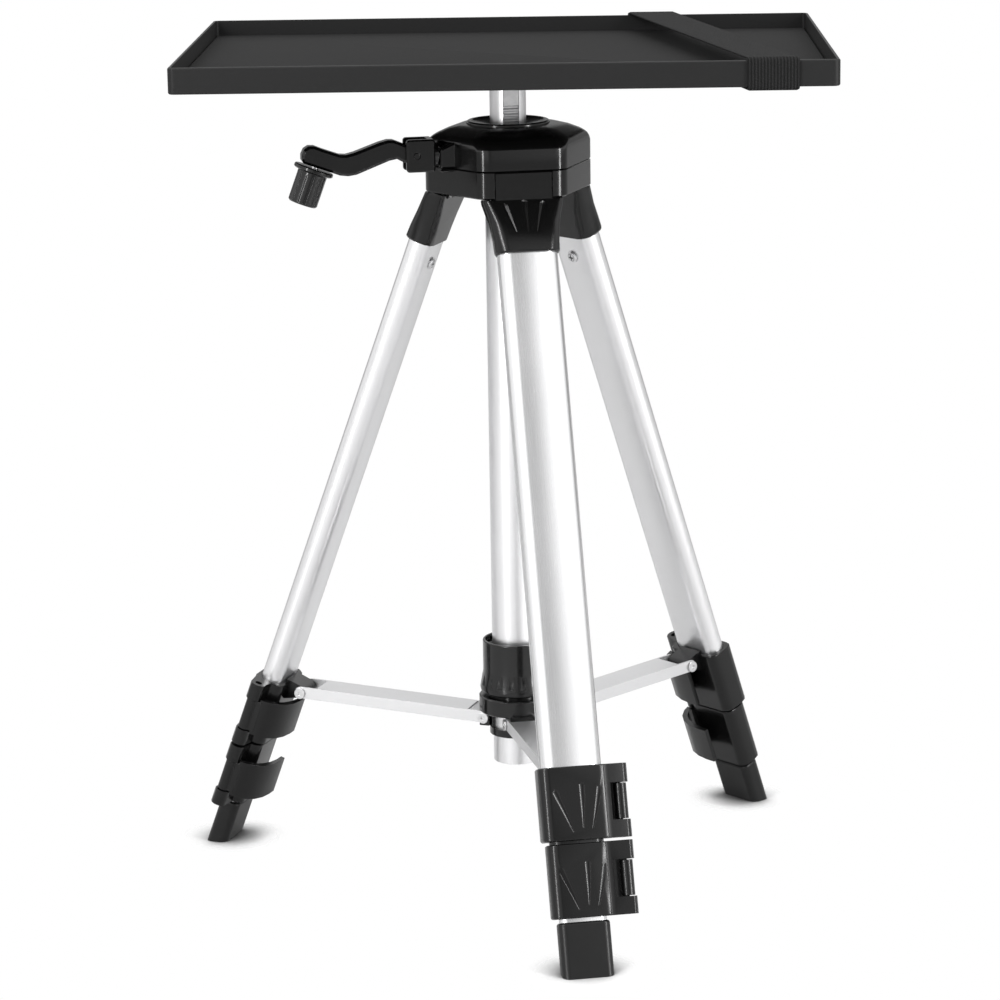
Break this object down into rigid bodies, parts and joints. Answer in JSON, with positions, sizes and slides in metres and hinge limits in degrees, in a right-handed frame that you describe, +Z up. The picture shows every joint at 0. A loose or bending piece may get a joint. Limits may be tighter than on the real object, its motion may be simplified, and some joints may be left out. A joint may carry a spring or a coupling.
{
  "type": "projector stand",
  "caption": "Folding tripod stand with a shallow strapped tray on a cranked column, three telescopic legs with lever clamps, and a sliding hub with channel braces.",
  "frame": {"origin": "middle of the stand's plan on the floor, with the column standing 6.4 mm to +X and 26.1 mm to +Y of it", "axes": "+Z up, +X to the right along the tray's long side, -Y toward the front leg and the tray's front edge"},
  "size_m": [0.3928, 0.3624, 0.523],
  "materials": {
    "tray_paint": "matt black powder coat",
    "foam": "fine-grained foam sheet",
    "webbing": "ribbed black elastic",
    "anodised": "satin silver anodised",
    "crown_plastic": "gloss black",
    "black_plastic": "satin black",
    "foot_rubber": "matt black",
    "steel": "bright zinc"
  },
  "bodies": {
    "stand": {"crown_base": "crown_plastic", "crown_cover": "crown_plastic", "column_collar": "black_plastic", "outer_tube": "anodised", "tube_end_cap": "black_plastic"},
    "column_group": {"column": "anodised", "rack": "steel", "tray_mount": "black_plastic"},
    "tray_group": {"tray": "tray_paint", "tray_pad": "foam", "strap": "webbing", "tray_bolt": "steel"},
    "crank_group": {"pinion_shaft": "steel", "crank_block": "black_plastic", "fold_pin": "steel"},
    "arm_group": {"crank_arm": "black_plastic", "knob_bolt": "steel"},
    "knob_group": {"crank_knob": "black_plastic"},
    "hub_group": {"hub": "black_plastic", "front_hub_rivet": "steel", "right_hub_rivet": "steel", "left_hub_rivet": "steel"},
    "lock_ring_group": {"lock_ring": "black_plastic"},
    "front_brace_group": {"front_brace": "anodised"},
    "front_leg_group": {"front_bracket": "black_plastic", "front_pivot_pin": "steel", "front_upper_tube": "anodised", "front_upper_clamp": "black_plastic", "front_leg_rivet": "steel"},
    "front_upper_lever_group": {"front_upper_lever": "black_plastic"},
    "front_middle_group": {"front_middle_tube": "anodised", "front_lower_clamp": "black_plastic"},
    "front_lower_lever_group": {"front_lower_lever": "black_plastic"},
    "front_lower_group": {"front_lower_tube": "anodised", "front_foot": "foot_rubber"},
    "right_brace_group": {"right_brace": "anodised"},
    "right_leg_group": {"right_bracket": "black_plastic", "right_pivot_pin": "steel", "right_upper_tube": "anodised", "right_upper_clamp": "black_plastic", "right_leg_rivet": "steel"},
    "right_upper_lever_group": {"right_upper_lever": "black_plastic"},
    "right_middle_group": {"right_middle_tube": "anodised", "right_lower_clamp": "black_plastic"},
    "right_lower_lever_group": {"right_lower_lever": "black_plastic"},
    "right_lower_group": {"right_lower_tube": "anodised", "right_foot": "foot_rubber"},
    "left_brace_group": {"left_brace": "anodised"},
    "left_leg_group": {"left_bracket": "black_plastic", "left_pivot_pin": "steel", "left_upper_tube": "anodised", "left_upper_clamp": "black_plastic", "left_leg_rivet": "steel"},
    "left_upper_lever_group": {"left_upper_lever": "black_plastic"},
    "left_middle_group": {"left_middle_tube": "anodised", "left_lower_clamp": "black_plastic"},
    "left_lower_lever_group": {"left_lower_lever": "black_plastic"},
    "left_lower_group": {"left_lower_tube": "anodised", "left_foot": "foot_rubber"}
  },
  "joints": [
    {"name": "column_slide", "type": "slide", "parent": "stand", "child": "column_group", "axis": [0, 0, 1], "range_m": [0, 0.284]},
    {"name": "tray_turn", "type": "hinge", "parent": "column_group", "child": "tray_group", "pos_m": [0.00645, 0.02608, 0.5055], "axis": [0, 0, 1], "continuous": true},
    {"name": "crank_turn", "type": "hinge", "parent": "stand", "child": "crank_group", "pos_m": [0.0098, 0.01031, 0.4555], "axis": [0.9781, 0.2079, 0], "range_deg": [0, 2324.58]},
    {"name": "arm_fold", "type": "hinge", "parent": "crank_group", "child": "arm_group", "pos_m": [-0.04889, -0.00216, 0.4555], "axis": [0.2079, -0.9781, 0], "range_deg": [-30, 90]},
    {"name": "knob_turn", "type": "hinge", "parent": "arm_group", "child": "knob_group", "pos_m": [-0.10836, -0.0148, 0.4503], "axis": [0.3426, 0.0728, 0.9367], "continuous": true},
    {"name": "hub_slide", "type": "slide", "parent": "stand", "child": "hub_group", "axis": [0, 0, 1], "range_m": [0, 0.11482]},
    {"name": "lock_ring_turn", "type": "hinge", "parent": "hub_group", "child": "lock_ring_group", "pos_m": [0.00645, 0.02608, 0.1144], "axis": [0, 0, 1], "range_deg": [0, 180]},
    {"name": "front_brace_turn", "type": "hinge", "parent": "hub_group", "child": "front_brace_group", "pos_m": [0.0103, 0.00799, 0.0975], "axis": [0.9781, 0.2079, 0], "range_deg": [0, 92.73]},
    {"name": "front_leg_turn", "type": "hinge", "parent": "front_brace_group", "child": "front_leg_group", "pos_m": [0.036, -0.11295, 0.10354], "axis": [0.9781, 0.2079, 0], "range_deg": [-72.26, 0]},
    {"name": "front_upper_lever_turn", "type": "hinge", "parent": "front_leg_group", "child": "front_upper_lever_group", "pos_m": [0.06913, -0.1351, 0.09338], "axis": [0.0727, -0.3421, -0.9369], "range_deg": [0, 120]},
    {"name": "front_middle_slide", "type": "slide", "parent": "front_leg_group", "child": "front_middle_group", "axis": [0.0727, -0.3421, -0.9369], "range_m": [0, 0.272]},
    {"name": "front_lower_lever_turn", "type": "hinge", "parent": "front_middle_group", "child": "front_lower_lever_group", "pos_m": [0.07238, -0.15039, 0.0515], "axis": [0.0727, -0.3421, -0.9369], "range_deg": [0, 120]},
    {"name": "front_lower_slide", "type": "slide", "parent": "front_middle_group", "child": "front_lower_group", "axis": [0.0727, -0.3421, -0.9369], "range_m": [0, 0.31]},
    {"name": "right_brace_turn", "type": "hinge", "parent": "hub_group", "child": "right_brace_group", "pos_m": [0.0202, 0.03846, 0.0975], "axis": [-0.6691, 0.7431, 0], "range_deg": [0, 92.73]},
    {"name": "right_leg_turn", "type": "hinge", "parent": "right_brace_group", "child": "right_leg_group", "pos_m": [0.11208, 0.12119, 0.10354], "axis": [-0.6691, 0.7431, 0], "range_deg": [-72.26, 0]},
    {"name": "right_upper_lever_turn", "type": "hinge", "parent": "right_leg_group", "child": "right_upper_lever_group", "pos_m": [0.1147, 0.16095, 0.09338], "axis": [0.2599, 0.234, -0.9369], "range_deg": [0, 120]},
    {"name": "right_middle_slide", "type": "slide", "parent": "right_leg_group", "child": "right_middle_group", "axis": [0.2599, 0.234, -0.9369], "range_m": [0, 0.272]},
    {"name": "right_lower_lever_turn", "type": "hinge", "parent": "right_middle_group", "child": "right_lower_lever_group", "pos_m": [0.12631, 0.17142, 0.0515], "axis": [0.2599, 0.234, -0.9369], "range_deg": [0, 120]},
    {"name": "right_lower_slide", "type": "slide", "parent": "right_middle_group", "child": "right_lower_group", "axis": [0.2599, 0.234, -0.9369], "range_m": [0, 0.31]},
    {"name": "left_brace_turn", "type": "hinge", "parent": "hub_group", "child": "left_brace_group", "pos_m": [-0.01115, 0.0318, 0.0975], "axis": [-0.309, -0.9511, 0], "range_deg": [0, 92.73]},
    {"name": "left_leg_turn", "type": "hinge", "parent": "left_brace_group", "child": "left_leg_group", "pos_m": [-0.12873, 0.07, 0.10354], "axis": [-0.309, -0.9511, 0], "range_deg": [-72.26, 0]},
    {"name": "left_upper_lever_turn", "type": "hinge", "parent": "left_leg_group", "child": "left_upper_lever_group", "pos_m": [-0.16448, 0.05239, 0.09338], "axis": [-0.3326, 0.1081, -0.9369], "range_deg": [0, 120]},
    {"name": "left_middle_slide", "type": "slide", "parent": "left_leg_group", "child": "left_middle_group", "axis": [-0.3326, 0.1081, -0.9369], "range_m": [0, 0.272]},
    {"name": "left_lower_lever_turn", "type": "hinge", "parent": "left_middle_group", "child": "left_lower_lever_group", "pos_m": [-0.17934, 0.05722, 0.0515], "axis": [-0.3326, 0.1081, -0.9369], "range_deg": [0, 120]},
    {"name": "left_lower_slide", "type": "slide", "parent": "left_middle_group", "child": "left_lower_group", "axis": [-0.3326, 0.1081, -0.9369], "range_m": [0, 0.31]}
  ],
  "couplings": [
    {"joint": "crank_turn", "follows": "column_slide", "rad_per_m": 142.86},
    {"joint": "front_brace_turn", "follows": "hub_slide", "rad_per_m": 14.096},
    {"joint": "front_leg_turn", "follows": "hub_slide", "rad_per_m": -10.984},
    {"joint": "right_brace_turn", "follows": "hub_slide", "rad_per_m": 14.096},
    {"joint": "right_leg_turn", "follows": "hub_slide", "rad_per_m": -10.984},
    {"joint": "left_brace_turn", "follows": "hub_slide", "rad_per_m": 14.096},
    {"joint": "left_leg_turn", "follows": "hub_slide", "rad_per_m": -10.984}
  ]
}
